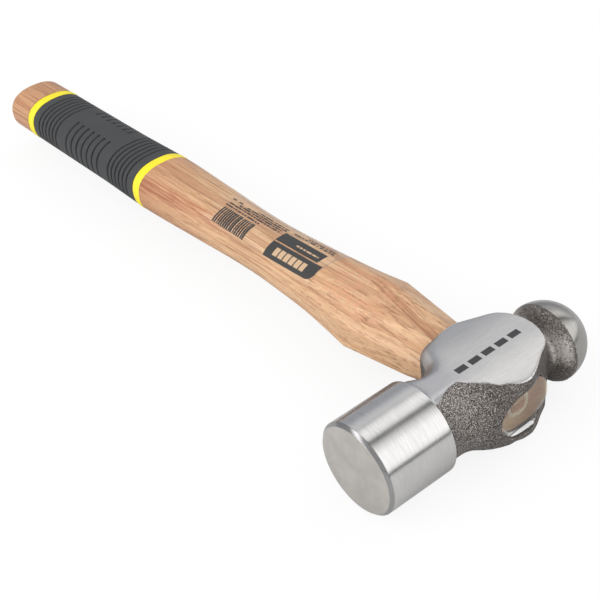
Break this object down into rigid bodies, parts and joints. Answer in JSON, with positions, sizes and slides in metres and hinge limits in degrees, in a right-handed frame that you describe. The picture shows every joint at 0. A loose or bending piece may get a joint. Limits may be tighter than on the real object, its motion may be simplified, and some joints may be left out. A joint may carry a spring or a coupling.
{
  "type": "ball peen hammer",
  "caption": "Ball peen engineer's hammer: forged steel head with ground cheeks, waisted wooden handle, printed film and a grooved rubber grip between yellow bands.",
  "frame": {"origin": "centre of the striking face, on the axis of the poll and ball", "axes": "-Y is the striking face's outward normal and +Y points to the ball; -X points down the handle to the butt and +X out of the top of the head; +Z points out of the upper cheek, so the hammer lies on its side"},
  "size_m": [0.3617, 0.1142, 0.0382],
  "materials": {
    "forged_steel": "poll, cheeks and ball machined and ground bright; the rest as forged and shot blasted, dark grey",
    "handle_wood": "light straight-grained hardwood with red-brown streaks under a thin satin lacquer",
    "wedge_wood": "plain wood, end grain",
    "ring_steel": "bright plain steel",
    "clear_lacquer": "clear, slightly yellow and glossy",
    "grip_rubber": "matt charcoal rubber, moulded grooves",
    "yellow_band": "bright yellow, satin",
    "printed_film": "clear film with near-black printed panels and bars, no text"
  },
  "bodies": {
    "root": {"hammer_head": "forged_steel", "handle": "handle_wood", "eye_wedge": "wedge_wood", "ring_wedge": "ring_steel", "eye_sealant": "clear_lacquer", "grip_sleeve": "grip_rubber", "front_band": "yellow_band", "rear_band": "yellow_band", "label_film": "printed_film"}
  },
  "joints": []
}
